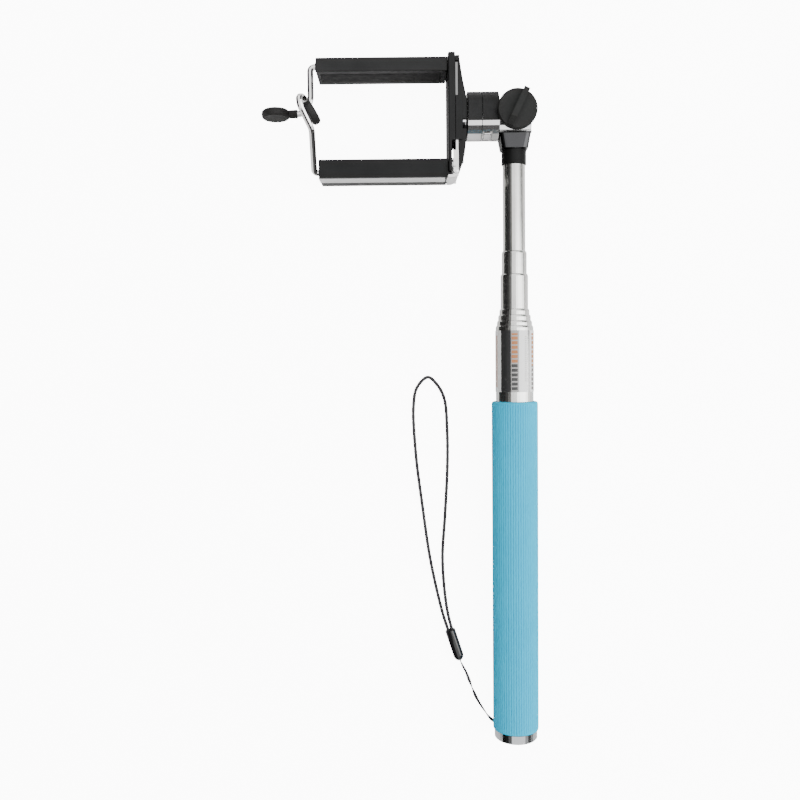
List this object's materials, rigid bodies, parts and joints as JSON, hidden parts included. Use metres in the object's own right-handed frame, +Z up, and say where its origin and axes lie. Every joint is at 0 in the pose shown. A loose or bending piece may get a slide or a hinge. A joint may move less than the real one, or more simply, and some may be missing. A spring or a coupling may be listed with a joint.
{
  "type": "selfie_stick",
  "caption": "Telescopic selfie stick with a ribbed grip, tilting swivel head and a spring phone clamp with wire retaining arms",
  "frame": {"origin": "bottom centre of the box around everything but the strap's cord, with the stick lying on its side as it rests on a table", "axes": "+X towards the stick from the clamp, +Y along the stick from the end cap to the head, +Z up from the table"},
  "size_m": [0.126, 0.3176, 0.035],
  "materials": {
    "grip_cyan": "satin ribbed foam rubber, light blue",
    "stick_steel": "polished drawn steel tube",
    "chrome": "bright nickel chrome plate",
    "black_plastic": "black moulded plastic, fine satin texture",
    "black_gloss": "glossy black plastic",
    "black_rubber": "soft black rubber",
    "label": "clear film wrap with plain printed colour blocks",
    "cord_black": "black braided nylon cord",
    "spring_steel": "bare spring steel wire",
    "nylon": "natural nylon",
    "bronze": "phosphor bronze strip"
  },
  "bodies": {
    "handle": {"outer_tube": "stick_steel", "grip_sleeve": "grip_cyan", "label_film": "label", "end_cap": "chrome", "strap_loop": "cord_black", "strap_bead": "black_gloss", "strap_tail": "cord_black"},
    "stage_2": {"stage_2_tube": "stick_steel", "friction_sleeve_2": "bronze"},
    "stage_3": {"stage_3_tube": "stick_steel", "friction_sleeve_3": "bronze"},
    "stage_4": {"stage_4_tube": "stick_steel", "friction_sleeve_4": "bronze"},
    "stage_5": {"stage_5_tube": "stick_steel", "friction_sleeve_5": "bronze"},
    "stage_6": {"stage_6_tube": "stick_steel", "friction_sleeve_6": "bronze"},
    "stage_7": {"stage_7_tube": "stick_steel", "friction_sleeve_7": "bronze", "top_collar": "black_plastic", "yoke_fork": "chrome", "tilt_bolt": "chrome", "knob_washer": "chrome"},
    "tilt_knob": {"tilt_knob": "black_plastic"},
    "tilt_head": {"tilt_block": "chrome", "tilt_block_cover": "black_plastic", "index_tab": "chrome", "tripod_stud": "chrome", "friction_disc_upper": "nylon", "friction_disc_lower": "nylon"},
    "lock_ring": {"lock_ring": "chrome", "lock_ring_cover": "black_plastic"},
    "clamp": {"back_plate": "black_plastic", "back_cover": "black_plastic", "cover_screw_upper": "chrome", "cover_screw_lower": "chrome", "thread_insert": "chrome", "seat_washer": "black_rubber", "return_spring_front": "spring_steel", "return_spring_rear": "spring_steel", "upper_jaw": "black_plastic", "upper_jaw_pad": "black_rubber", "upper_wire_bush": "black_gloss"},
    "lower_jaw_slide": {"slider_bracket": "chrome", "lower_jaw": "black_plastic", "lower_jaw_pad": "black_rubber", "lower_wire_bush": "black_gloss", "slider_rivet_front": "chrome", "slider_rivet_rear": "chrome"},
    "upper_arm": {"upper_wire": "chrome", "upper_paddle": "black_rubber"},
    "lower_arm": {"lower_wire": "chrome", "lower_paddle": "black_rubber"}
  },
  "joints": [
    {"name": "stage_2_slide", "type": "slide", "parent": "handle", "child": "stage_2", "axis": [0, 1, 0], "range_m": [0, 0.127]},
    {"name": "stage_3_slide", "type": "slide", "parent": "stage_2", "child": "stage_3", "axis": [0, 1, 0], "range_m": [0, 0.127]},
    {"name": "stage_4_slide", "type": "slide", "parent": "stage_3", "child": "stage_4", "axis": [0, 1, 0], "range_m": [0, 0.127]},
    {"name": "stage_5_slide", "type": "slide", "parent": "stage_4", "child": "stage_5", "axis": [0, 1, 0], "range_m": [-0.0134, 0.1136]},
    {"name": "stage_6_slide", "type": "slide", "parent": "stage_5", "child": "stage_6", "axis": [0, 1, 0], "range_m": [-0.0078, 0.1192]},
    {"name": "stage_7_slide", "type": "slide", "parent": "stage_6", "child": "stage_7", "axis": [0, 1, 0], "range_m": [-0.0389, 0.0881]},
    {"name": "knob_turn", "type": "hinge", "parent": "stage_7", "child": "tilt_knob", "pos_m": [0.05226, 0.13267, 0.022], "axis": [0, 0, 1], "continuous": true},
    {"name": "head_tilt", "type": "hinge", "parent": "stage_7", "child": "tilt_head", "pos_m": [0.05226, 0.13267, 0.011], "axis": [0, 0, 1], "range_deg": [-180, 0]},
    {"name": "lock_ring_turn", "type": "hinge", "parent": "tilt_head", "child": "lock_ring", "pos_m": [0.03376, 0.13267, 0.011], "axis": [1, 0, 0], "continuous": true},
    {"name": "clamp_turn", "type": "hinge", "parent": "tilt_head", "child": "clamp", "pos_m": [0.02826, 0.13267, 0.011], "axis": [1, 0, 0], "continuous": true},
    {"name": "jaw_slide", "type": "slide", "parent": "clamp", "child": "lower_jaw_slide", "axis": [0, -1, 0], "range_m": [0, 0.042], "stiffness_N_per_m": 160, "springref_m": -0.02, "deforming": ["return_spring_front", "return_spring_rear"]},
    {"name": "upper_arm_swing", "type": "hinge", "parent": "clamp", "child": "upper_arm", "pos_m": [-0.03874, 0.15447, 0.0155], "axis": [1, 0, 0], "range_deg": [0, 180]},
    {"name": "lower_arm_swing", "type": "hinge", "parent": "lower_jaw_slide", "child": "lower_arm", "pos_m": [-0.03874, 0.10807, 0.01], "axis": [1, 0, 0], "range_deg": [0, 155]}
  ]
}
